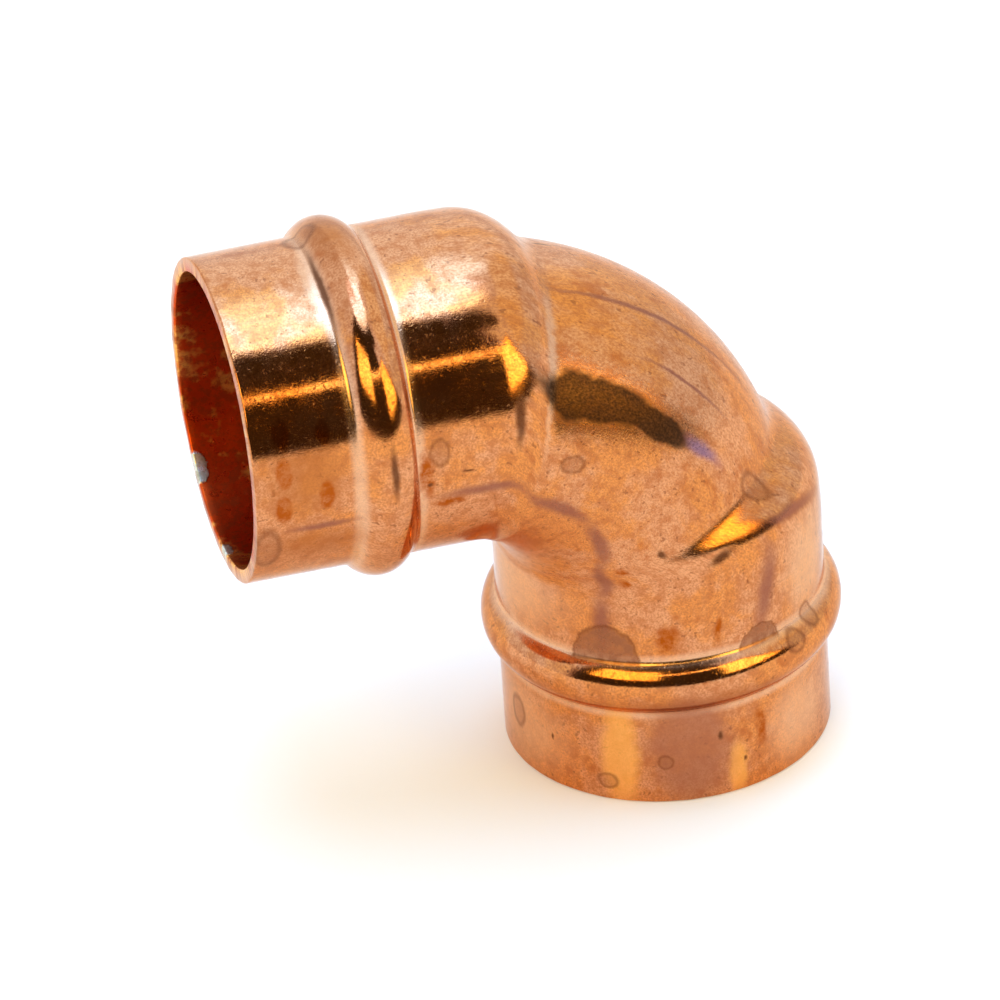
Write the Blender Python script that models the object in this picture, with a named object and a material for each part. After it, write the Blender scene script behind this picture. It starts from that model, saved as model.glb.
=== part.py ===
"""A 90 degree copper elbow for 15 mm tube, with a ring of solder held in each socket.

The elbow stands on its lower mouth. The lower socket's axis is vertical, the upper
socket opens along -X, and the plane Y = 0 splits the elbow into two mirrored halves.
The origin is under the middle of the bounding box. All lengths are in metres.
"""

import math

import bmesh
import bpy
from mathutils import Vector

# Sockets, which take the tube. A station is a distance from the nearer mouth along the
# centreline, and a radius is measured from the centreline.
WALL = 0.00075
BORE_RADIUS = 0.00755
SOCKET_END_RADIUS = 0.00838
SOCKET_LENGTH = 0.0129

# Bead around each socket: a round ridge whose feet run into the socket with small fillets.
BEAD_STATION = 0.0069
BEAD_HEIGHT = 0.00081
BEAD_ARC_RADIUS = 0.0017
BEAD_FILLET_RADIUS = 0.0004

# Shoulder between socket and bend: it curves down over this share of its length, and
# then curves back to lie along the bend.
SHOULDER_LENGTH = 0.0025
SHOULDER_CONVEX_SHARE = 0.67

# Bend. The widest line of its section is inset from the centreline, towards the bend's
# centre. From there the section is this deep to the outer side and to the inner side,
# so the shoulder is deep on the outer side and almost vanishes on the inner side.
BEND_HALF_WIDTH = 0.0081
BEND_OUTER_DEPTH = 0.00822
BEND_INNER_DEPTH = 0.0068
BEND_INSET = 0.0015
BEND_RADIUS = 0.0105
STRAIGHT_LENGTH = 0.01193

# Solder rings, which fill the groove inside each bead but for this gap.
RING_GAP = 0.0003

# Fineness of the mesh
SEGMENTS = 48
BEAD_STEPS = 10
SHOULDER_STEPS = 6
BEND_STEPS = 5
RING_STEPS = 6

# What follows from the dimensions above
MOUTH_RADIUS = BORE_RADIUS + WALL
SHOULDER_END = SOCKET_LENGTH + SHOULDER_LENGTH
CENTRE_TO_FACE = STRAIGHT_LENGTH + BEND_RADIUS
CENTRELINE_LENGTH = 2 * STRAIGHT_LENGTH + BEND_RADIUS * math.pi / 2
SOCKET_TAPER = (SOCKET_END_RADIUS - MOUTH_RADIUS) / SOCKET_LENGTH
BEAD_CROWN_RADIUS = MOUTH_RADIUS + SOCKET_TAPER * BEAD_STATION + BEAD_HEIGHT
AXIS_X = (CENTRE_TO_FACE - BEAD_CROWN_RADIUS) / 2
BEND_CENTRE = Vector((AXIS_X - BEND_RADIUS, 0.0, STRAIGHT_LENGTH))
SIDEWAYS = Vector((0.0, 1.0, 0.0))

# The bead's arc is centred this far above the socket's wall (below it when negative),
# and meets its fillets at one half width and the wall at another.
BEAD_ARC_CENTRE = BEAD_HEIGHT - BEAD_ARC_RADIUS
BEAD_FOOT = math.sqrt((BEAD_ARC_RADIUS + BEAD_FILLET_RADIUS) ** 2
                      - (BEAD_FILLET_RADIUS - BEAD_ARC_CENTRE) ** 2)
BEAD_TANGENT = BEAD_FOOT * BEAD_ARC_RADIUS / (BEAD_ARC_RADIUS + BEAD_FILLET_RADIUS)

COPPER = {"name": "copper", "color": (0.80, 0.42, 0.25, 1.0), "roughness": 0.22}
SOLDER = {"name": "solder", "color": (0.62, 0.62, 0.60, 1.0), "roughness": 0.38}


def remove_all_objects():
    """Empty the scene."""
    for item in list(bpy.data.objects):
        bpy.data.objects.remove(item, do_unlink=True)


def bead_rise(offset):
    """Height of the bead above the socket's wall, at an offset from its crown."""
    offset = abs(offset)
    if offset <= BEAD_TANGENT:
        return BEAD_ARC_CENTRE + math.sqrt(BEAD_ARC_RADIUS ** 2 - offset ** 2)
    if offset < BEAD_FOOT:
        return BEAD_FILLET_RADIUS - math.sqrt(BEAD_FILLET_RADIUS ** 2 - (BEAD_FOOT - offset) ** 2)
    return 0.0


def shoulder_share(station):
    """Share of the way from the socket's section to the bend's section, from 0 to 1."""
    along = min(max((station - SOCKET_LENGTH) / SHOULDER_LENGTH, 0.0), 1.0)
    if along < SHOULDER_CONVEX_SHARE:
        return along ** 2 / SHOULDER_CONVEX_SHARE
    return 1.0 - (1.0 - along) ** 2 / (1.0 - SHOULDER_CONVEX_SHARE)


def socket_radius(station):
    """Outer radius of a socket and its bead at a station."""
    wall = MOUTH_RADIUS + SOCKET_TAPER * min(station, SOCKET_LENGTH)
    return wall + bead_rise(station - BEAD_STATION)


def spread(first, last, steps):
    """Evenly spaced numbers from first to last, both included."""
    return [first + (last - first) * i / steps for i in range(steps + 1)]


def leg_stations():
    """Stations of the cross sections from a mouth to the middle of the bend."""
    across_bead = [BEAD_STATION + BEAD_FOOT * math.sin(angle)
                   for angle in spread(-math.pi / 2, math.pi / 2, BEAD_STEPS)]
    across_shoulder = spread(SOCKET_LENGTH, SHOULDER_END, SHOULDER_STEPS)
    along_bend = spread(SHOULDER_END, CENTRELINE_LENGTH / 2, BEND_STEPS)[1:]
    return [0.0] + across_bead + across_shoulder + along_bend


def section_distances():
    """Distances of all cross sections from the lower mouth, along the centreline."""
    leg = leg_stations()
    return leg + [CENTRELINE_LENGTH - station for station in reversed(leg[:-1])]


def centreline(distance):
    """Centre of the cross section at a distance from the lower mouth, and the direction
    in its plane that points away from the bend's centre."""
    turn = min(max((distance - STRAIGHT_LENGTH) / BEND_RADIUS, 0.0), math.pi / 2)
    outward = Vector((math.cos(turn), 0.0, math.sin(turn)))
    forward = Vector((-math.sin(turn), 0.0, math.cos(turn)))
    straight_part = distance - STRAIGHT_LENGTH - turn * BEND_RADIUS
    return BEND_CENTRE + outward * BEND_RADIUS + forward * straight_part, outward


def outer_point(distance, angle):
    """Point of the outer surface: a distance from the lower mouth along the centreline,
    and an angle around it from the side away from the bend's centre."""
    centre, outward = centreline(distance)
    station = min(distance, CENTRELINE_LENGTH - distance)
    share = shoulder_share(station)
    radius = socket_radius(station)
    bend_depth = BEND_OUTER_DEPTH if math.cos(angle) > 0 else BEND_INNER_DEPTH
    depth = radius + (bend_depth - SOCKET_END_RADIUS) * share
    width = radius + (BEND_HALF_WIDTH - SOCKET_END_RADIUS) * share
    across = outward * math.cos(angle) * depth + SIDEWAYS * math.sin(angle) * width
    return centre - outward * BEND_INSET * share + across


def inner_point(distance, angle):
    """Point of the inner surface, one wall below a point of the outer surface."""
    step = WALL / 1000
    turn = step / MOUTH_RADIUS
    along = outer_point(distance + step, angle) - outer_point(distance - step, angle)
    around = outer_point(distance, angle + turn) - outer_point(distance, angle - turn)
    return outer_point(distance, angle) - around.cross(along).normalized() * WALL


def around_angles():
    """Angles of the corners of a cross section."""
    return [2 * math.pi * i / SEGMENTS for i in range(SEGMENTS)]


def circle(centre, first, second, radius):
    """Points around a circle in the plane of two directions."""
    return [centre + (first * math.cos(angle) + second * math.sin(angle)) * radius
            for angle in around_angles()]


def closed_loft(name, loops):
    """Mesh through equal loops of points, each joined to the next and the last to the first."""
    shape = bmesh.new()
    rows = [[shape.verts.new(point) for point in loop] for loop in loops]
    for row, following in zip(rows, rows[1:] + rows[:1]):
        for i in range(len(row)):
            j = (i + 1) % len(row)
            shape.faces.new((row[i], row[j], following[j], following[i]))
    bmesh.ops.recalc_face_normals(shape, faces=shape.faces)
    mesh = bpy.data.meshes.new(name)
    shape.to_mesh(mesh)
    shape.free()
    mesh.shade_smooth()
    mesh.set_sharp_from_angle(angle=math.radians(40))
    return mesh


def metal(look):
    """Principled metal material."""
    material = bpy.data.materials.new(look["name"])
    material.use_nodes = True
    shader = material.node_tree.nodes["Principled BSDF"]
    shader.inputs["Base Color"].default_value = look["color"]
    shader.inputs["Roughness"].default_value = look["roughness"]
    shader.inputs["Metallic"].default_value = 1.0
    return material


def place(name, mesh, location=(0.0, 0.0, 0.0), turn_about_y=0.0):
    """Named object in the scene, turned about the Y axis and moved to its location."""
    item = bpy.data.objects.new(name, mesh)
    item.location = location
    item.rotation_euler = (0.0, turn_about_y, 0.0)
    bpy.context.scene.collection.objects.link(item)
    return item


def elbow_mesh():
    """Copper body: up the outside from the lower mouth to the upper mouth, and back inside."""
    distances = section_distances()
    outside = [[outer_point(distance, angle) for angle in around_angles()] for distance in distances]
    inside = [[inner_point(distance, angle) for angle in around_angles()] for distance in distances]
    return closed_loft("elbow_body", outside + inside[::-1])


def solder_ring_mesh():
    """Ring of solder about Z: an arc under the bead's groove, closed by a flat bore."""
    arc_centre = BEAD_CROWN_RADIUS - BEAD_ARC_RADIUS
    arc_radius = BEAD_ARC_RADIUS - WALL - RING_GAP
    half_arc = math.acos((BORE_RADIUS - arc_centre) / arc_radius)
    profile = [(arc_radius * math.sin(angle), arc_centre + arc_radius * math.cos(angle))
               for angle in spread(-half_arc, half_arc, RING_STEPS)]
    right = Vector((1.0, 0.0, 0.0))
    loops = [circle(Vector((0.0, 0.0, height)), right, SIDEWAYS, radius)
             for height, radius in profile]
    return closed_loft("solder_ring", loops)


def build():
    """Model the elbow."""
    remove_all_objects()
    body = elbow_mesh()
    body.materials.append(metal(COPPER))
    place("elbow_body", body)
    ring = solder_ring_mesh()
    ring.materials.append(metal(SOLDER))
    place("lower_solder_ring", ring, (AXIS_X, 0.0, BEAD_STATION))
    upper = (AXIS_X - CENTRE_TO_FACE + BEAD_STATION, 0.0, CENTRE_TO_FACE)
    place("upper_solder_ring", ring, upper, turn_about_y=-math.pi / 2)


build()
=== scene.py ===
"""Looks of the copper elbow: its smooth shell, its solder, its finish, and a light tent."""

import math
from types import SimpleNamespace

import bpy
import numpy as np
from mathutils import Matrix, Vector, noise


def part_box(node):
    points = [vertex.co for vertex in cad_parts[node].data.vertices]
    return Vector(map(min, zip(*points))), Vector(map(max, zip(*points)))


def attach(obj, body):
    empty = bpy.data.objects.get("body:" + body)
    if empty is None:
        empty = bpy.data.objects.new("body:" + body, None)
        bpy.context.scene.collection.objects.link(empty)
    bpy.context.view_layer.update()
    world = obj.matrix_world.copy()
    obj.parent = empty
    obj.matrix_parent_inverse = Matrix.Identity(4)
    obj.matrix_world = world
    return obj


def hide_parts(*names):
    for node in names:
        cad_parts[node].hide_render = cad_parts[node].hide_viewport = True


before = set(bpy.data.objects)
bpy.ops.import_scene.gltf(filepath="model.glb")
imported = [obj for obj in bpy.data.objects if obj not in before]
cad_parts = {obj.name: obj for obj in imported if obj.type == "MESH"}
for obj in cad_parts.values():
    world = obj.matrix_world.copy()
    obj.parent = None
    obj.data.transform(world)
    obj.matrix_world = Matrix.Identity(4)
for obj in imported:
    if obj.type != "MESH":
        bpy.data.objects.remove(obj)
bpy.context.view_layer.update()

# ---------------------------------------------------------------- dimensions, in metres
# The frame gives the elbow's place and its overall size.
BODY_LOW, BODY_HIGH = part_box("elbow_body")
CROWN_RADIUS = BODY_HIGH[1]
AXIS_X = BODY_HIGH[0] - CROWN_RADIUS
CENTRE_TO_FACE = BODY_HIGH[2] - CROWN_RADIUS
MM = 0.001

# These are the CAD part's own dimensions, for the same profile in finer steps.
WALL = 0.00075
BORE_RADIUS = 0.00755
SOCKET_END_RADIUS = 0.00838
SOCKET_LENGTH = 0.0129
BEAD_STATION = 0.0069
BEAD_HEIGHT = 0.00081
BEAD_ARC_RADIUS = 0.0017
BEAD_FILLET_RADIUS = 0.0004
SHOULDER_LENGTH = 0.0025
SHOULDER_CONVEX_SHARE = 0.67
BEND_HALF_WIDTH = 0.0081
BEND_OUTER_DEPTH = 0.00822
BEND_INNER_DEPTH = 0.0068
BEND_RADIUS = 0.0105
BEND_INSET = 0.0015
RING_GAP = 0.0003
RIM_ROUNDING = 0.00010

MOUTH_RADIUS = BORE_RADIUS + WALL
STRAIGHT_LENGTH = CENTRE_TO_FACE - BEND_RADIUS
SHOULDER_END = SOCKET_LENGTH + SHOULDER_LENGTH
CENTRELINE_LENGTH = 2 * STRAIGHT_LENGTH + BEND_RADIUS * math.pi / 2
SOCKET_TAPER = (SOCKET_END_RADIUS - MOUTH_RADIUS) / SOCKET_LENGTH
BEAD_ARC_CENTRE = BEAD_HEIGHT - BEAD_ARC_RADIUS
BEAD_FOOT = math.sqrt((BEAD_ARC_RADIUS + BEAD_FILLET_RADIUS) ** 2
                      - (BEAD_FILLET_RADIUS - BEAD_ARC_CENTRE) ** 2)
BEAD_TANGENT = BEAD_FOOT * BEAD_ARC_RADIUS / (BEAD_ARC_RADIUS + BEAD_FILLET_RADIUS)
SIDEWAYS = np.array([0.0, 1.0, 0.0])

# ---------------------------------------------------------------- fineness of the meshes
# Steps along a mouth's socket, its bead, the rest of it, the shoulder and half the bend
OUTER_STEPS = (52, 44, 34, 26, 56)
INNER_STEPS = (14, 30, 10, 16, 30)
SEGMENTS = 240
RING_STEPS = 24

# Handling marks. The surface waves a little, at two sizes in millimetres, never outwards.
WAVES = ((4.5, 0.020 * MM), (1.6, 0.005 * MM))
# The nicks of a rim are of a size in millimetres, and fade out along its socket.
RIM_NICK_SIZE = 0.8
RIM_NICK_DEPTH = 0.05 * MM
RIM_NICK_REACH = 0.5 * MM
# Hollows: distance along the centreline and half length in millimetres, angle and half
# angle in degrees, and depth. The steepness says how fast they end.
UPPER = CENTRELINE_LENGTH / MM
HOLLOWS = ((UPPER - 5.62, 0.16, -17, 19, 0.10 * MM),
           (UPPER - 5.00, 0.55, -14, 15, 0.05 * MM),
           (UPPER - 8.35, 0.25, -70, 16, 0.04 * MM),
           (15.2, 0.55, -90, 5, 0.04 * MM),
           (13.8, 0.30, -79, 7, 0.04 * MM))
HOLLOW_STEEPNESS = 1.5


# ---------------------------------------------------------------- the elbow's profile
def bead_rise(offset):
    """Height of the bead above the socket's wall, at an offset from its crown."""
    offset = abs(offset)
    if offset <= BEAD_TANGENT:
        return BEAD_ARC_CENTRE + math.sqrt(BEAD_ARC_RADIUS ** 2 - offset ** 2)
    if offset < BEAD_FOOT:
        return BEAD_FILLET_RADIUS - math.sqrt(BEAD_FILLET_RADIUS ** 2 - (BEAD_FOOT - offset) ** 2)
    return 0.0


def shoulder_share(station):
    """Share of the way from the socket's section to the bend's section, from 0 to 1."""
    along = min(max((station - SOCKET_LENGTH) / SHOULDER_LENGTH, 0.0), 1.0)
    if along < SHOULDER_CONVEX_SHARE:
        return along ** 2 / SHOULDER_CONVEX_SHARE
    return 1.0 - (1.0 - along) ** 2 / (1.0 - SHOULDER_CONVEX_SHARE)


def outer_radius(station):
    """Outer radius of a socket and its bead, at a distance from the nearer mouth."""
    return MOUTH_RADIUS + SOCKET_TAPER * min(station, SOCKET_LENGTH) + bead_rise(station - BEAD_STATION)


def leg_stations(steps):
    """Stations of the cross sections from a mouth to the middle of the bend."""
    ends = (RIM_ROUNDING, BEAD_STATION - BEAD_FOOT, BEAD_STATION + BEAD_FOOT, SOCKET_LENGTH,
            SHOULDER_END, CENTRELINE_LENGTH / 2)
    parts = [np.linspace(first, last, count) for first, last, count in zip(ends, ends[1:], steps)]
    parts[1] = BEAD_STATION + BEAD_FOOT * np.sin(np.linspace(-math.pi / 2, math.pi / 2, steps[1]))
    return np.unique(np.round(np.concatenate(parts), 9))


def rim_arc(outer, steps=5):
    """Rounded edge of the mouth: from the flat rim to the outer or the inner wall."""
    radius = MOUTH_RADIUS if outer else BORE_RADIUS
    away = 1.0 if outer else -1.0
    angles = np.linspace(0.0, math.pi / 2, steps)[:-1]
    return [(RIM_ROUNDING * (1 - math.cos(a)),
             radius - away * RIM_ROUNDING * (1 - math.sin(a))) for a in angles]


def both_legs(leg):
    """From the lower mouth to the middle, and back to the upper mouth."""
    mirrored = [(CENTRELINE_LENGTH - s, *rest) for s, *rest in reversed(leg[:-1])]
    return leg + mirrored


def centreline(distance):
    """Centre of the cross section at a distance from the lower mouth, with the direction
    in its plane away from the bend's centre and the direction onwards."""
    turn = min(max((distance - STRAIGHT_LENGTH) / BEND_RADIUS, 0.0), math.pi / 2)
    outward = np.array([math.cos(turn), 0.0, math.sin(turn)])
    onward = np.array([-math.sin(turn), 0.0, math.cos(turn)])
    bend_centre = np.array([AXIS_X - BEND_RADIUS, 0.0, STRAIGHT_LENGTH])
    straight_part = distance - STRAIGHT_LENGTH - turn * BEND_RADIUS
    return bend_centre + outward * BEND_RADIUS + onward * straight_part, outward, onward


def nearer_station(distance):
    """Distance from the nearer mouth, given the distance from the lower mouth."""
    return min(distance, CENTRELINE_LENGTH - distance)


def section(distance, radius, angles):
    """Points around the elbow's cross section at a distance from the lower mouth."""
    centre, outward, _ = centreline(distance)
    share = shoulder_share(nearer_station(distance))
    bend_depth = np.where(np.cos(angles) > 0, BEND_OUTER_DEPTH, BEND_INNER_DEPTH)
    depth = radius + (bend_depth - SOCKET_END_RADIUS) * share
    width = radius + (BEND_HALF_WIDTH - SOCKET_END_RADIUS) * share
    across = np.outer(np.cos(angles) * depth, outward) + np.outer(np.sin(angles) * width, SIDEWAYS)
    return centre - outward * BEND_INSET * share + across


def outer_section(distance, angles):
    """Points around the outer surface."""
    return section(distance, outer_radius(nearer_station(distance)), angles)


def inner_section(distance, angles):
    """Points around the inner surface, one wall below the outer surface."""
    step = WALL / 1000
    turn = step / MOUTH_RADIUS
    along = outer_section(distance + step, angles) - outer_section(distance - step, angles)
    around = outer_section(distance, angles + turn) - outer_section(distance, angles - turn)
    normal = np.cross(around, along)
    normal /= np.linalg.norm(normal, axis=1, keepdims=True)
    return outer_section(distance, angles) - normal * WALL


# ---------------------------------------------------------------- wear of the surface
def tube_place(distance, angles):
    """Places on the surface as if the elbow were straight, in millimetres: seamless."""
    radius = MOUTH_RADIUS / MM
    along = np.full(len(angles), distance / MM)
    return np.stack([along, radius * np.cos(angles), radius * np.sin(angles)], axis=1)


def hollow_depth(distance, angles):
    """Depth of the dents at a distance from the lower mouth."""
    depth = np.zeros(len(angles))
    turned = np.degrees((angles + math.pi) % (2 * math.pi) - math.pi)
    for middle, half_length, angle, half_angle, deepest in HOLLOWS:
        reach = ((distance / MM - middle) / half_length) ** 2 + ((turned - angle) / half_angle) ** 2
        depth += deepest * np.exp(-HOLLOW_STEEPNESS * reach)
    return depth


def wave_depth(places):
    """Depth of the slight waves in the surface, between nothing and their full size."""
    depth = np.zeros(len(places))
    for size, height in WAVES:
        depth += [height * (0.5 - 0.5 * noise.noise(Vector(place) / size)) for place in places]
    return depth


def worn_section(distance, radius, angles):
    """Outer cross section with its dents, its waves and the nicks of its rim."""
    points = section(distance, radius, angles)
    centre, outward, onward = centreline(distance)
    inward = -(np.outer(np.cos(angles), outward) + np.outer(np.sin(angles), SIDEWAYS))
    places = tube_place(distance, angles)
    depth = hollow_depth(distance, angles) + wave_depth(places)
    station = nearer_station(distance)
    points = points + inward * depth[:, None]
    if station < RIM_NICK_REACH:
        into = onward if distance < CENTRELINE_LENGTH / 2 else -onward
        nick = [0.5 + 0.5 * noise.noise(Vector(place) / RIM_NICK_SIZE) for place in places]
        points = points + np.outer(nick, into) * RIM_NICK_DEPTH * (1 - station / RIM_NICK_REACH)
    return points


# ---------------------------------------------------------------- meshes
def grid_mesh(name, rows):
    """Smooth mesh through equal closed rows of points, the last row joined to the first."""
    count, width = len(rows), len(rows[0])
    index = np.arange(count * width).reshape(count, width)
    after = np.roll(index, -1, axis=0)
    quads = np.stack([index, np.roll(index, -1, 1), np.roll(after, -1, 1), after], axis=-1)
    mesh = bpy.data.meshes.new(name)
    mesh.from_pydata(np.concatenate(rows).tolist(), [], quads.reshape(-1, 4).tolist())
    mesh.shade_smooth()
    return mesh


def add_object(name, mesh, material):
    """Object in the scene with one material."""
    mesh.materials.append(material)
    item = bpy.data.objects.new(name, mesh)
    bpy.context.scene.collection.objects.link(item)
    return item


def store(mesh, name, kind, values):
    """Keep a value for each vertex, for the material to read."""
    field = "vector" if kind == "FLOAT_VECTOR" else "value"
    mesh.attributes.new(name, kind, "POINT").data.foreach_set(field, np.ravel(values).astype(np.float32))


def elbow_shell(material):
    """The copper body: out along the outside, and back along the inside."""
    angles = np.linspace(0.0, 2 * math.pi, SEGMENTS, endpoint=False)
    outside = both_legs(rim_arc(True) + [(s, outer_radius(s)) for s in leg_stations(OUTER_STEPS)])
    inner_rim = both_legs(rim_arc(False) + [(CENTRELINE_LENGTH / 2, 0.0)])
    walls = [distance for distance, in both_legs([(s,) for s in leg_stations(INNER_STEPS)])]
    rims = len(inner_rim) // 2
    rows = [worn_section(*point, angles) for point in outside]
    inner_rows = [section(*point, angles) for point in inner_rim[:rims]]
    inner_rows += [inner_section(distance, angles) for distance in walls]
    inner_rows += [section(*point, angles) for point in inner_rim[-rims:]]
    mesh = grid_mesh("copper_shell", rows + inner_rows[::-1])
    inside = [distance for distance, _ in inner_rim[:rims]] + walls
    inside = (inside + [distance for distance, _ in inner_rim[-rims:]])[::-1]
    distances = [distance for distance, _ in outside] + inside
    store(mesh, "tube", "FLOAT_VECTOR", [tube_place(distance, angles) for distance in distances])
    shares = [shoulder_share(nearer_station(distance)) for distance in distances]
    store(mesh, "bend", "FLOAT", np.repeat(shares, SEGMENTS))
    store(mesh, "inside", "FLOAT", np.repeat([0.0] * len(outside) + [1.0] * len(inside), SEGMENTS))
    shell = add_object("copper_shell", mesh, material)
    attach(shell, "root")
    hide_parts("elbow_body")


def solder_ring(name, node, middle, axis, material):
    """Ring of solder under a bead: an arc in the groove, closed by a flat bore."""
    arc_centre = CROWN_RADIUS - BEAD_ARC_RADIUS
    arc_radius = BEAD_ARC_RADIUS - WALL - RING_GAP
    half_arc = math.acos((BORE_RADIUS - arc_centre) / arc_radius)
    arc = np.linspace(-half_arc, half_arc, RING_STEPS)
    angles = np.linspace(0.0, 2 * math.pi, SEGMENTS, endpoint=False)
    across = np.cross(SIDEWAYS, axis)
    around = np.outer(np.cos(angles), across) + np.outer(np.sin(angles), SIDEWAYS)
    rows = [middle + axis * arc_radius * math.sin(a) + around * (arc_centre + arc_radius * math.cos(a))
            for a in arc]
    ring = add_object(name, grid_mesh(name, rows), material)
    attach(ring, "root")
    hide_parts(node)


def solder_rings(material):
    """Both rings of solder, in place of the coarser ones."""
    up, along = np.array([0.0, 0.0, 1.0]), np.array([1.0, 0.0, 0.0])
    lower = np.array([AXIS_X, 0.0, BEAD_STATION])
    upper = np.array([BODY_LOW[0] + BEAD_STATION, 0.0, CENTRE_TO_FACE])
    solder_ring("lower_solder", "lower_solder_ring", lower, up, material)
    solder_ring("upper_solder", "upper_solder_ring", upper, along, material)


# ---------------------------------------------------------------- node graphs
class Graph:
    """Node tree of a material or a world. A value is a number, a tuple or a socket."""

    def __init__(self, owner):
        owner.use_nodes = True
        self.tree = owner.node_tree
        self.tree.nodes.clear()

    def node(self, kind, inputs=(), **settings):
        """Node with its settings and its inputs, given by name or by place."""
        node = self.tree.nodes.new("ShaderNode" + kind)
        for name, value in settings.items():
            setattr(node, name, value)
        for key, value in dict(inputs).items():
            if isinstance(value, bpy.types.NodeSocket):
                self.tree.links.new(value, node.inputs[key])
            else:
                node.inputs[key].default_value = value
        return node

    def math(self, operation, first, second=0.0):
        """Result of an operation on two numbers."""
        return self.node("Math", {0: first, 1: second}, operation=operation).outputs[0]

    def vector(self, operation, first, second=(0.0, 0.0, 0.0)):
        """Result of an operation on two vectors."""
        return self.node("VectorMath", {0: first, 1: second}, operation=operation).outputs[0]

    def ramp(self, value, low, high, start=0.0, end=1.0):
        """From start at low to end at high, smooth between."""
        inputs = {"Value": value, "From Min": low, "From Max": high, "To Min": start, "To Max": end}
        node = self.node("MapRange", inputs, interpolation_type="SMOOTHSTEP")
        return node.outputs["Result"]

    def mix(self, share, first, second):
        """Colour part of the way from the first to the second."""
        colors = [(*c, 1.0) if isinstance(c, tuple) else c for c in (first, second)]
        node = self.node("Mix", {}, data_type="RGBA")
        for name, value in zip(("Factor", "A", "B"), (share, *colors)):
            if isinstance(value, bpy.types.NodeSocket):
                self.tree.links.new(value, node.inputs[name])
            else:
                node.inputs[name].default_value = value
        return node.outputs["Result"]

    def noise(self, place, size, detail=3.0, roughness=0.55):
        """Noise with features of a size in millimetres: its value and its colour."""
        inputs = {"Vector": place, "Scale": 1.0 / size, "Detail": detail, "Roughness": roughness}
        return self.node("TexNoise", inputs).outputs

    def attribute(self, name):
        """What the mesh keeps under a name, as a vector or as a number."""
        return self.node("Attribute", attribute_name=name).outputs

    def own_place(self):
        """Places in the object's own coordinates, in millimetres."""
        where = self.node("TexCoord").outputs["Object"]
        return self.vector("MULTIPLY", where, (1 / MM,) * 3)


# ---------------------------------------------------------------- marks on the copper, and light and shade painted on it
# A mark is an oval: distance along the centreline and angle of its middle, half length
# and half width, and the turn of its length away from the centreline. Millimetres, degrees.
# The ink bars are plain shapes in place of lettering.
TARNISH_DOMES = ((8.2, -125, 2.2, 1.7, 0), (8.3, -69, 1.05, 1.15, 0))
RING_SPOTS = ((23.7, -83, 0.62, 0.45, 10), (UPPER - 9.5, -84, 0.50, 0.68, 0),
              (8.3, -45, 0.6, 0.5, 30), (7.7, -56, 0.55, 0.5, 0), (15.1, -47, 0.60, 0.65, 0),
              (1.15, -127, 0.42, 0.55, 0), (2.4, -106, 0.40, 0.36, 0), (3.0, -169, 0.85, 0.6, 0),
              (UPPER - 5.5, 14, 0.8, 0.9, 0), (UPPER - 0.55, -113, 0.65, 1.4, 0),
              (26.0, 120, 0.6, 0.5, 0), (6.0, 60, 0.5, 0.6, 0), (17.5, 95, 0.55, 0.5, 0),
              (UPPER - 10.5, 70, 0.5, 0.6, 0), (10.8, 130, 0.6, 0.5, 0))
# The streak at 13.6 mm and -46 degrees is painted shade along the lower shoulder's crease.
PURPLE_STREAKS = ((28.3, -102, 3.2, 0.40, 0), (23.2, -102.5, 3.7, 0.62, -5),
                  (18.3, -109, 2.9, 0.66, -14), (14.3, -120, 3.0, 0.55, -19),
                  (10.6, -125.5, 2.2, 0.60, 0), (11.2, -65, 2.8, 0.65, -14),
                  (UPPER - 3.4, -105, 2.2, 0.26, 0), (21.5, -18, 5.0, 0.20, 2),
                  (19.9, -38.5, 2.4, 0.14, 0), (13.6, -46, 0.26, 3.0, -9),
                  (14.0, 88, 3.2, 0.45, 4), (UPPER - 12.5, 100, 3.0, 0.4, -5))
PURPLE_FIELDS = ((3.2, -97, 3.8, 2.5, 0),)
# The brown field at 13.6 mm and -45 degrees is painted shade along the lower shoulder's crease.
BROWN_FIELDS = ((UPPER - 2.6, -84, 2.4, 2.7, 0), (UPPER - 3.0, -114, 3.0, 1.3, 0),
                (UPPER - 6.9, 10, 1.5, 3.6, 0), (13.6, -45, 0.32, 3.1, -9),
                (6.0, -90, 0.7, 5.5, 0), (UPPER - 9.5, -60, 1.6, 0.8, 0),
                (9.0, 150, 2.5, 3.0, 0), (20.0, 60, 4.0, 2.5, 0), (UPPER - 3.0, 90, 2.0, 3.0, 0))
STRAW_FIELDS = ((2.7, -122, 3.4, 1.05, 0), (1.4, -80, 1.7, 0.60, 0))
# The pale lens at UPPER - 4.95 mm is a painted highlight on the dent there.
PALE_FIELDS = ((10.9, -172, 2.6, 5.2, 0), (2.6, -168, 2.8, 4.2, 0), (2.6, -52, 2.8, 2.4, 0),
               (11.0, -42, 2.6, 2.2, 0), (20.2, 180, 7.0, 6.0, 0),
               (UPPER - 4.95, -14, 0.38, 2.6, 0), (25.4, -52, 0.22, 4.6, 0))
VIOLET_SPOTS = ((18.2, -55.5, 1.25, 0.45, 8),)
# The dark patches on the front of the bend are a painted dark reflection.
PAINTED_DARK_REFLECTIONS = ((23.3, -58.5, 2.9, 1.20, 2), (20.6, -59, 1.8, 0.75, 6), (24.4, -58.5, 1.2, 1.45, 0))
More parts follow.
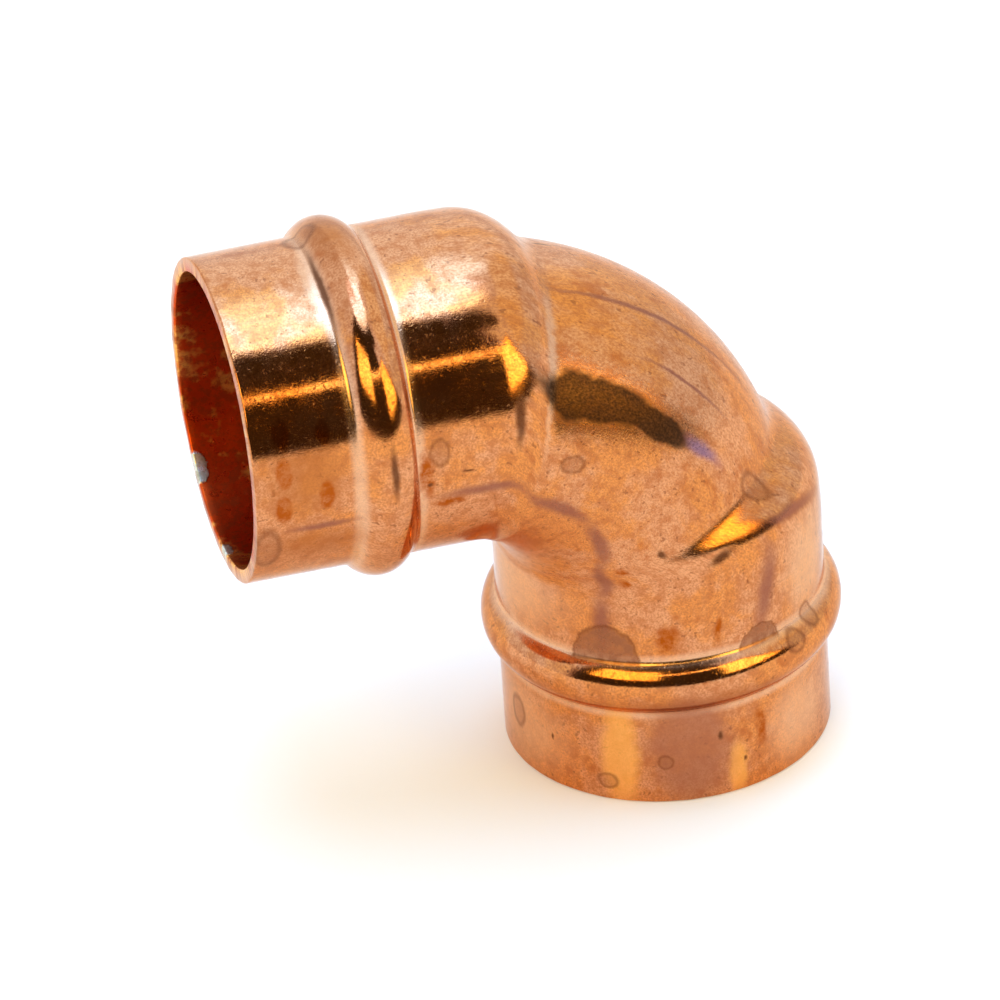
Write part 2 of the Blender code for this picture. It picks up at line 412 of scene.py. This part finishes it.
# Dark flecks of dirt. The thin dark lines among them, over dents and folds, are painted shade in those
# creases.
DARK_FLECKS_AND_CREASE_SHADE = ((24.75, 12, 0.35, 0.12, 0), (15.25, -90, 0.34, 0.22, 0), (13.75, -79, 0.22, 0.8, 12),
               (3.6, -86, 0.28, 0.15, 0), (1.8, -77, 0.16, 0.10, 0), (2.85, -149, 0.18, 0.10, 0),
               (UPPER - 13.5, -76, 0.25, 1.5, 0), (UPPER - 7.0, -86, 0.22, 1.3, 0),
               (UPPER - 5.45, -17, 0.17, 3.0, 0), (UPPER - 8.9, -96, 0.16, 0.12, 0),
               (UPPER - 10.9, -93, 0.30, 0.08, 0))
ORANGE_SMUDGES = ((15.0, -109, 0.55, 0.38, 20), (13.7, -115, 0.55, 0.32, -20),
                  (UPPER - 8.75, -92, 0.45, 1.6, 0), (UPPER - 9.9, -105, 1.1, 0.26, 0),
                  (9.7, -103, 1.0, 0.75, 0), (9.8, -85, 0.95, 0.24, 0), (3.4, -70, 1.3, 0.35, 0))
INK_BARS = ((UPPER - 1.65, -67, 0.46, 0.85, 0), (UPPER - 1.55, -81, 0.46, 0.85, 0),
            (UPPER - 1.45, -95, 0.46, 0.85, 0), (UPPER - 3.75, -69, 0.40, 0.70, 0),
            (UPPER - 3.65, -92, 0.40, 0.85, 0))
SOLDER_SMEARS = ((UPPER - 0.1, 139, 0.60, 0.95, 0), (UPPER - 0.1, 181, 0.42, 0.6, 0))

# The domes are cut off at this distance along the centreline, over the lower bead.
DOME_FOOT = 8.25
# Distances of a bead's two feet from the nearer mouth
BEAD_FEET = (5.35, 8.45)
# Half depth of a mark, square to the surface: it stays off the far side of the tube.
MARK_DEPTH = 4.0

# Colours of the bare copper, of its stains, of what lies on it, and of the light and shade painted on it
TONES = {"rose copper": (0.75, 0.32, 0.14),
         "orange copper": (0.77, 0.268, 0.066),
         "mottle": (0.48, 0.135, 0.038),
         "drawn line": (0.84, 0.40, 0.18),
         "grain": (0.46, 0.14, 0.045),
         "blotch": (0.45, 0.10, 0.020),
         "speck": (0.26, 0.075, 0.028),
         "pale": (0.84, 0.46, 0.25),
         # Pale lines along the beads' foot creases: a painted highlight
         "painted bead foot highlight": (0.86, 0.50, 0.29),
         "brown": (0.44, 0.125, 0.028),
         "straw": (0.98, 0.42, 0.085),
         "purple field": (0.37, 0.125, 0.065),
         "purple streak": (0.30, 0.095, 0.055),
         "violet": (0.22, 0.12, 0.21),
         "tarnish": (0.31, 0.105, 0.045),
         "tarnish edge": (0.22, 0.060, 0.020),
         "ink": (0.40, 0.075, 0.005),
         # Painted dark reflection on the bend
         "painted dark reflection": (0.048, 0.020, 0.009),
         # Dark flecks, and painted shade in creases
         "fleck": (0.13, 0.04, 0.015),
         # The inside's deep red paints the bore's shade and inter-reflection
         "red inside": (0.68, 0.075, 0.010),
         "orange inside": (0.96, 0.46, 0.10),
         "brown inside": (0.44, 0.060, 0.012),
         "solder": (0.80, 0.80, 0.68),
         "flux": (0.48, 0.42, 0.28)}


class CopperGraph(Graph):
    """Nodes of the copper, with masks for its marks."""

    def __init__(self, owner):
        super().__init__(owner)
        self.place = self.attribute("tube")["Vector"]
        self.along = self.node("SeparateXYZ", {0: self.place}).outputs[0]
        self.station = self.math("MINIMUM", self.along, self.math("SUBTRACT", UPPER, self.along))
        self.jitter = self.vector("SUBTRACT", self.noise(self.place, 1.1, 4.0, 0.7)[1], (0.5, 0.5, 0.5))
        self.ragged = self.shifted(0.75)
        self.wavy = self.shifted(0.4)

    def shifted(self, amount):
        """Places shifted a little to and fro, which gives the marks ragged edges."""
        return self.vector("ADD", self.place, self.vector("MULTIPLY", self.jitter, (amount,) * 3))

    def reach(self, mark, where):
        """Distance from the middle of a mark: 1 at its edge, and 2 from twice as far on."""
        along, angle, length, width, turn = mark
        turned = math.radians(angle)
        radius = MOUTH_RADIUS / MM
        frame_turn = Matrix.Rotation(turned, 3, "X") @ Matrix.Rotation(math.radians(turn), 3, "Y")
        place = (along, radius * math.cos(turned), radius * math.sin(turned))
        inputs = {"Vector": where, "Location": place, "Rotation": tuple(frame_turn.to_euler()),
                  "Scale": (2 * length, 2 * MARK_DEPTH, 2 * width)}
        local = self.node("Mapping", inputs, vector_type="TEXTURE").outputs[0]
        nearness = self.node("TexGradient", {"Vector": local}, gradient_type="SPHERICAL").outputs[1]
        return self.math("SUBTRACT", 2.0, self.scaled(nearness, 2.0))

    def most(self, first, second):
        """The greater of two shares, where the first may still be missing."""
        return second if first is None else self.math("MAXIMUM", first, second)

    def marks(self, group, inner, outer, where=None):
        """Share of a group of marks: whole within the inner reach, none beyond the outer."""
        share = None
        for mark in group:
            reach = self.reach(mark, where or self.ragged)
            share = self.most(share, self.ramp(reach, inner, outer, 1.0, 0.0))
        return share

    def outlined(self, group, inner, outer, thickness, where):
        """Shares of the insides and of the outlines of a group of marks."""
        share, outline = None, None
        for mark in group:
            reach = self.reach(mark, where)
            off_edge = self.math("ABSOLUTE", self.math("SUBTRACT", reach, 1.0))
            share = self.most(share, self.ramp(reach, inner, outer, 1.0, 0.0))
            outline = self.most(outline, self.ramp(off_edge, 0.0, thickness, 1.0, 0.0))
        return share, outline

    def painted_foot_highlights(self):
        """Share of the narrow pale lines along the beads' foot creases: painted highlights."""
        share = None
        for foot in BEAD_FEET:
            off_foot = self.math("ABSOLUTE", self.math("SUBTRACT", self.station, foot))
            share = self.most(share, self.ramp(off_foot, 0.10, 0.50, 1.0, 0.0))
        return share

    def scaled(self, value, factor):
        """A number times a factor."""
        return self.math("MULTIPLY", value, factor)

    def stain_or_painted_light(self, color, share, strength, tone):
        """A colour with a mark over it, where it has a share and as strong as it gets. The marks are
        stains, and painted light and shade.
        """
        return self.mix(self.scaled(share, strength), color, TONES[tone])


def copper_layers(graph):
    """Textures of the copper. The masks of its stains and of its painted light and shade join them
    later.
    """
    layers = SimpleNamespace()
    layers.bend = graph.attribute("bend")["Fac"]
    layers.inside = graph.attribute("inside")["Fac"]
    layers.cloud = graph.noise(graph.place, 3.2, 4.0, 0.6)[0]
    layers.mottle = graph.noise(graph.place, 0.75, 5.0, 0.7)[0]
    layers.grain = graph.noise(graph.place, 0.11, 3.0, 0.65)[0]
    drawn_out = graph.vector("MULTIPLY", graph.place, (0.12, 1.0, 1.0))
    layers.drawn = graph.noise(drawn_out, 0.28, 3.0, 0.6)[0]
    layers.specks = graph.ramp(graph.noise(graph.place, 0.30, 1.5, 0.5)[0], 0.66, 0.73)
    layers.dust = graph.ramp(graph.noise(graph.place, 0.15, 2.0, 0.6)[0], 0.58, 0.72)
    layers.blotch = graph.ramp(graph.noise(graph.ragged, 1.5, 3.0, 0.6)[0], 0.60, 0.74)
    return layers


def bare_color(graph, layers):
    """Colour of the handled copper before its stains: paler in places, and pale along each bead's foot,
    a painted highlight.
    """
    color = graph.mix(graph.ramp(layers.cloud, 0.42, 0.58), TONES["rose copper"], TONES["orange copper"])
    color = graph.mix(graph.ramp(layers.mottle, 0.43, 0.63, 0.0, 0.62), color, TONES["mottle"])
    color = graph.mix(graph.ramp(layers.drawn, 0.50, 0.68, 0.0, 0.12), color, TONES["drawn line"])
    color = graph.mix(graph.ramp(layers.grain, 0.36, 0.66, 0.0, 0.70), color, TONES["grain"])
    color = graph.stain_or_painted_light(color, layers.blotch, 0.45, "blotch")
    color = graph.stain_or_painted_light(color, layers.specks, 0.60, "speck")
    color = graph.stain_or_painted_light(color, graph.marks(PALE_FIELDS, 0.3, 1.3), 0.55, "pale")
    # Pale lines along the beads' foot creases: painted highlights.
    layers.painted_foot_highlights = graph.painted_foot_highlights()
    return graph.stain_or_painted_light(color, layers.painted_foot_highlights, 0.55, "painted bead foot highlight")


def heat_stain_and_crease_shade_color(graph, layers, color):
    """The colour with its brown, straw, purple and violet heat stains, and a brown and purple line of
    painted shade along the lower shoulder's crease.
    """
    color = graph.stain_or_painted_light(color, graph.marks(BROWN_FIELDS, 0.3, 1.3), 0.65, "brown")
    color = graph.stain_or_painted_light(color, graph.marks(STRAW_FIELDS, 0.5, 1.25), 0.7, "straw")
    color = graph.stain_or_painted_light(color, graph.marks(PURPLE_FIELDS, 0.5, 1.2), 0.75, "purple field")
    layers.streak = graph.marks(PURPLE_STREAKS, 0.2, 1.25, graph.wavy)
    color = graph.stain_or_painted_light(color, layers.streak, 0.85, "purple streak")
    return graph.stain_or_painted_light(color, graph.marks(VIOLET_SPOTS, 0.2, 1.3), 0.8, "violet")


def tarnish_color(graph, layers, color):
    """The colour with its tarnish: domes cut off at the bead, and spots with dark outlines."""
    above_foot = graph.ramp(graph.along, DOME_FOOT - 0.1, DOME_FOOT + 0.1)
    whole_dome, whole_edge = graph.outlined(TARNISH_DOMES, 0.90, 1.02, 0.10, graph.ragged)
    dome = graph.math("MULTIPLY", whole_dome, above_foot)
    dome_edge = graph.math("MULTIPLY", whole_edge, above_foot)
    spot, spot_edge = graph.outlined(RING_SPOTS, 0.85, 1.1, 0.34, graph.wavy)
    cloudy_dome = graph.math("MULTIPLY", dome, graph.ramp(layers.mottle, 0.40, 0.62, 0.95, 0.62))
    layers.filled = graph.math("MAXIMUM", cloudy_dome, graph.scaled(spot, 0.35))
    color = graph.mix(layers.filled, color, TONES["tarnish"])
    layers.edged = graph.math("MAXIMUM", graph.scaled(dome_edge, 0.75), graph.scaled(spot_edge, 0.55))
    return graph.mix(layers.edged, color, TONES["tarnish edge"])


def dirt_and_painted_shade_color(graph, layers, color):
    """The colour with its smudges and plain bars of ink, a painted dark reflection on the bend, and dark
    flecks with painted shade in creases and dents.
    """
    smudge = graph.marks(ORANGE_SMUDGES, 0.3, 1.25)
    bars = graph.scaled(graph.marks(INK_BARS, 0.7, 1.2, graph.wavy), 0.95)
    whole_ink = graph.math("MAXIMUM", smudge, bars)
    worn_ink = graph.math("MULTIPLY", whole_ink, graph.ramp(layers.mottle, 0.36, 0.58, 0.5, 1.0))
    color = graph.mix(worn_ink, color, TONES["ink"])
    # Painted dark reflection on the front of the bend, grainy within
    layers.patch = graph.marks(PAINTED_DARK_REFLECTIONS, 0.75, 1.15)
    grainy_painted_reflection = graph.math("MULTIPLY", layers.patch, graph.ramp(layers.grain, 0.35, 0.80, 1.0, 0.80))
    color = graph.mix(grainy_painted_reflection, color, TONES["painted dark reflection"])
    # Dark flecks, and dark lines painted as shade in creases and dents
    layers.fleck = graph.marks(DARK_FLECKS_AND_CREASE_SHADE, 0.3, 1.4, graph.shifted(0.25))
    return graph.stain_or_painted_light(color, layers.fleck, 0.9, "fleck")


def inner_color(graph, layers, color):
    """The colour with the red-brown inside, its deep red painted shade and inter-reflection of the bore,
    and the smears of solder at the upper mouth.
    """
    # The inside is redder and darker than the outside: painted shade and inter-reflection of the bore,
    # over clouds and mottle.
    clouded = graph.ramp(layers.cloud, 0.46, 0.54)
    inner = graph.mix(clouded, TONES["red inside"], TONES["orange inside"])
    inner = graph.mix(graph.ramp(layers.mottle, 0.46, 0.60, 0.0, 0.85), inner, TONES["brown inside"])
    color = graph.mix(layers.inside, color, inner)
    smears = graph.marks(SOLDER_SMEARS, 0.9, 1.05)
    layers.smear = graph.math("MULTIPLY", smears, layers.inside)
    smear_color = graph.mix(graph.ramp(layers.mottle, 0.42, 0.60), TONES["solder"], TONES["flux"])
    return graph.mix(layers.smear, color, smear_color)


def copper_roughness(graph, layers):
    """Polished sockets, a duller bend, and dull stains, painted dark reflection, crease shade, dust,
    bead foot lines and inside.
    """
    rough = graph.ramp(layers.mottle, 0.35, 0.7, 0.07, 0.16)
    rough = graph.math("ADD", rough, graph.scaled(layers.bend, 0.10))
    tarnished = graph.math("MAXIMUM", layers.filled, layers.edged)
    stains_and_painted_dark = graph.math("MAXIMUM", tarnished, graph.math("MAXIMUM", layers.patch, layers.fleck))
    for share, amount in ((stains_and_painted_dark, 0.14), (layers.streak, 0.06), (layers.inside, 0.20),
                          (layers.dust, 0.13), (layers.painted_foot_highlights, 0.12)):
        rough = graph.math("ADD", rough, graph.scaled(share, amount))
    return rough


def copper_normal(graph, layers):
    """Fine bumps: grain, mottle, drawn lines and pits, with the solder standing proud."""
    height = graph.math("ADD", graph.scaled(layers.grain, 0.6), graph.scaled(layers.mottle, 1.0))
    height = graph.math("ADD", height, graph.scaled(layers.drawn, 0.20))
    height = graph.math("SUBTRACT", height, graph.scaled(layers.specks, 0.4))
    height = graph.math("ADD", height, graph.scaled(layers.smear, 6.0))
    strength = graph.math("ADD", 0.55, graph.scaled(layers.bend, 0.45))
    inputs = {"Strength": strength, "Distance": 0.009 * MM, "Height": height}
    return graph.node("Bump", inputs).outputs[0]


def copper_material():
    """Handled copper: mottled and grainy, duller on the bend, with stains and painted light and shade,
    and red inside.
    """
    material = bpy.data.materials.new("copper")
    graph = CopperGraph(material)
    layers = copper_layers(graph)
    color = bare_color(graph, layers)
    for add_stains in (heat_stain_and_crease_shade_color, tarnish_color, dirt_and_painted_shade_color, inner_color):
        color = add_stains(graph, layers, color)
    shader = graph.node("BsdfPrincipled", {"Base Color": color, "Metallic": 1.0,
                                           "Roughness": copper_roughness(graph, layers),
                                           "Specular Tint": (0.92, 0.82, 0.72, 1.0),
                                           "Normal": copper_normal(graph, layers)})
    graph.node("OutputMaterial", {"Surface": shader.outputs[0]})
    return material


def solder_material():
    """Dull grey solder: clouded, finely pitted."""
    material = bpy.data.materials.new("solder")
    graph = Graph(material)
    place = graph.own_place()
    cloud = graph.noise(place, 1.4, 4.0, 0.6)[0]
    grain = graph.noise(place, 0.2, 2.0, 0.6)[0]
    color = graph.mix(graph.ramp(cloud, 0.35, 0.65), (0.70, 0.69, 0.66), (0.47, 0.47, 0.46))
    color = graph.mix(graph.ramp(grain, 0.55, 0.75, 0.0, 0.5), color, (0.36, 0.35, 0.33))
    rough = graph.ramp(cloud, 0.3, 0.7, 0.30, 0.48)
    height = graph.math("ADD", grain, cloud)
    bump = graph.node("Bump", {"Strength": 0.7, "Distance": 0.01 * MM, "Height": height})
    shader = graph.node("BsdfPrincipled", {"Base Color": color, "Metallic": 1.0, "Roughness": rough,
                                           "Normal": bump.outputs[0]})
    graph.node("OutputMaterial", {"Surface": shader.outputs[0]})
    return material


FLOOR_GLOW = 0.16


def floor_material():
    """Pale matt floor. Its faint glow keeps the shadow light."""
    material = bpy.data.materials.new("floor")
    graph = Graph(material)
    place = graph.own_place()
    cloud = graph.noise(place, 60.0, 2.0, 0.5)[0]
    color = graph.mix(cloud, (0.88, 0.84, 0.77), (0.90, 0.86, 0.79))
    shader = graph.node("BsdfPrincipled", {"Base Color": color, "Roughness": 0.9,
                                           "Emission Color": (1.0, 1.0, 1.0, 1.0),
                                           "Emission Strength": FLOOR_GLOW})
    graph.node("OutputMaterial", {"Surface": shader.outputs[0]})
    return material


# ---------------------------------------------------------------- stage, camera and light
# Angles in degrees, the lens in millimetres, and the rest in metres
CAMERA_AZIMUTH = -13.62
CAMERA_ELEVATION = 31.98
CAMERA_ROLL = -3.72
CAMERA_DISTANCE = 0.7830
CAMERA_TARGET = (AXIS_X - 0.0080, 0.0, 0.0150)
CAMERA_LENS = 561.2
CAMERA_OFFSET = (-0.029 * MM, -0.361 * MM)


def direction(azimuth, elevation):
    """Unit vector to a place seen from the elbow: azimuth 0 is -Y, and 90 is +X."""
    azimuth, elevation = math.radians(azimuth), math.radians(elevation)
    return Vector((math.sin(azimuth) * math.cos(elevation),
                   -math.cos(azimuth) * math.cos(elevation), math.sin(elevation)))


def add_camera():
    """Camera at the photograph's angle, with a long lens."""
    back = direction(CAMERA_AZIMUTH, CAMERA_ELEVATION)
    right = Vector((0.0, 0.0, 1.0)).cross(back).normalized()
    up = back.cross(right)
    target = Vector(CAMERA_TARGET) + right * CAMERA_OFFSET[0] + up * CAMERA_OFFSET[1]
    roll = math.radians(CAMERA_ROLL)
    turned_right = right * math.cos(roll) + up * math.sin(roll)
    turned_up = up * math.cos(roll) - right * math.sin(roll)
    camera = bpy.data.objects.new("camera", bpy.data.cameras.new("camera"))
    camera.data.lens = CAMERA_LENS
    camera.data.clip_start = 0.01
    turn = Matrix((turned_right, turned_up, back)).transposed().to_4x4()
    camera.matrix_world = Matrix.Translation(target + back * CAMERA_DISTANCE) @ turn
    bpy.context.scene.collection.objects.link(camera)
    bpy.context.scene.camera = camera


def add_floor():
    """Pale floor under the elbow."""
    size = 3.0
    corners = [(-size, -size, 0.0), (size, -size, 0.0), (size, size, 0.0), (-size, size, 0.0)]
    mesh = bpy.data.meshes.new("floor")
    mesh.from_pydata(corners, [], [(0, 1, 2, 3)])
    add_object("floor", mesh, floor_material())


class Sky(Graph):
    """World light built from soft-edged patches, each given by azimuth and elevation."""

    def __init__(self, base):
        world = bpy.data.worlds.new("tent")
        bpy.context.scene.world = world
        super().__init__(world)
        place = self.node("TexCoord").outputs["Generated"]
        x, y, z = self.node("SeparateXYZ", {0: place}).outputs
        turn = self.math("ARCTAN2", x, self.math("MULTIPLY", y, -1.0))
        self.azimuth = self.math("MULTIPLY", turn, 180 / math.pi)
        self.elevation = self.math("MULTIPLY", self.math("ARCSINE", z), 180 / math.pi)
        self.color = self.node("RGB").outputs[0]
        self.color.default_value = (*base, 1.0)

    def patch(self, color, azimuths, elevations, soft, lean):
        """Paint a patch over what is there. Its right edge leans in by so much a degree up."""
        leaning = self.math("ADD", self.azimuth, self.math("MULTIPLY", self.elevation, lean))
        share = self.ramp(self.azimuth, azimuths[0] - soft, azimuths[0] + soft)
        for value, low, high in ((leaning, azimuths[1] + soft, azimuths[1] - soft),
                                 (self.elevation, elevations[0] - soft, elevations[0] + soft),
                                 (self.elevation, elevations[1] + soft, elevations[1] - soft)):
            share = self.math("MULTIPLY", share, self.fall(value, low, high))
        self.color = self.mix(share, self.color, color)

    def fall(self, value, low, high):
        """0 at low and 1 at high, which may be the smaller."""
        if low < high:
            return self.ramp(value, low, high)
        return self.ramp(value, high, low, 1.0, 0.0)

    def done(self):
        """Light the world with the finished sky."""
        background = self.node("Background", {"Color": self.color, "Strength": 1.0})
        self.node("OutputWorld", {"Surface": background.outputs[0]})


# The tent's colours, and how much its opening's right side leans in
WALLS = (1.00, 1.15, 1.38)
BORDER = (0.36, 0.27, 0.28)
OPENING = (0.055, 0.041, 0.023)
OPENING_LEAN = 0.68
# Patches of the tent, each painted over those before it: colour, azimuths, elevations,
# softness of the edges, and lean. Degrees, and degrees for each degree up.
SKY_PATCHES = (
    # The wall at the right, low and high
    ((0.95, 1.12, 1.35), (58, 150), (-6, 32), 5.0, 0.0),
    ((1.08, 1.15, 1.02), (58, 150), (26, 62), 5.0, 0.0),
    # The roof, the back wall at the right, and the bluer parts of the roof
    ((1.5, 1.75, 2.4), (-180, 181), (72, 91), 3.0, 0.0),
    ((1.22, 1.55, 2.0), (130, 181), (8, 60), 8.0, 0.0),
    ((1.8, 3.1, 5.2), (125, 181), (60, 91), 9.0, 0.0),
    ((2.1, 3.9, 7.2), (-110, 181), (74, 91), 1.5, 0.0),
    # The roof's bright edge over the opening
    ((2.8, 4.2, 6.4), (-75, 126), (71.5, 75), 1.0, OPENING_LEAN),
    # The border of the opening, and the opening
    (BORDER, (-75, 27), (-11, 71.5), 1.0, 0.0),
    (BORDER, (20, 44), (55, 71.5), 1.0, 0.0),
    (BORDER, (10, 74), (-11, 44), 1.0, OPENING_LEAN),
    (OPENING, (-72, 24), (-9, 69.5), 1.0, 0.0),
    (OPENING, (18, 42), (56, 69.5), 1.0, 0.0),
    (OPENING, (10, 71), (-9, 42), 1.5, OPENING_LEAN),
    # The two warm lamps, and the thin line of light between them
    ((3.6, 2.7, 0.75), (-62, -20), (24, 52), 2.0, 0.0),
    ((3.9, 3.0, 0.85), (24, 69), (12, 42), 2.0, 0.64),
    ((5.5, 4.2, 1.6), (-20, 24), (39.4, 41.6), 0.5, 0.0))


def add_light():
    """A white light tent, open at the front, with two warm lamps in the opening."""
    sky = Sky(WALLS)
    for patch in SKY_PATCHES:
        sky.patch(*patch)
    sky.done()


# ---------------------------------------------------------------- build
add_camera()
add_floor()
add_light()
elbow_shell(copper_material())
solder_rings(solder_material())
bpy.context.scene.view_settings.view_transform = "Standard"
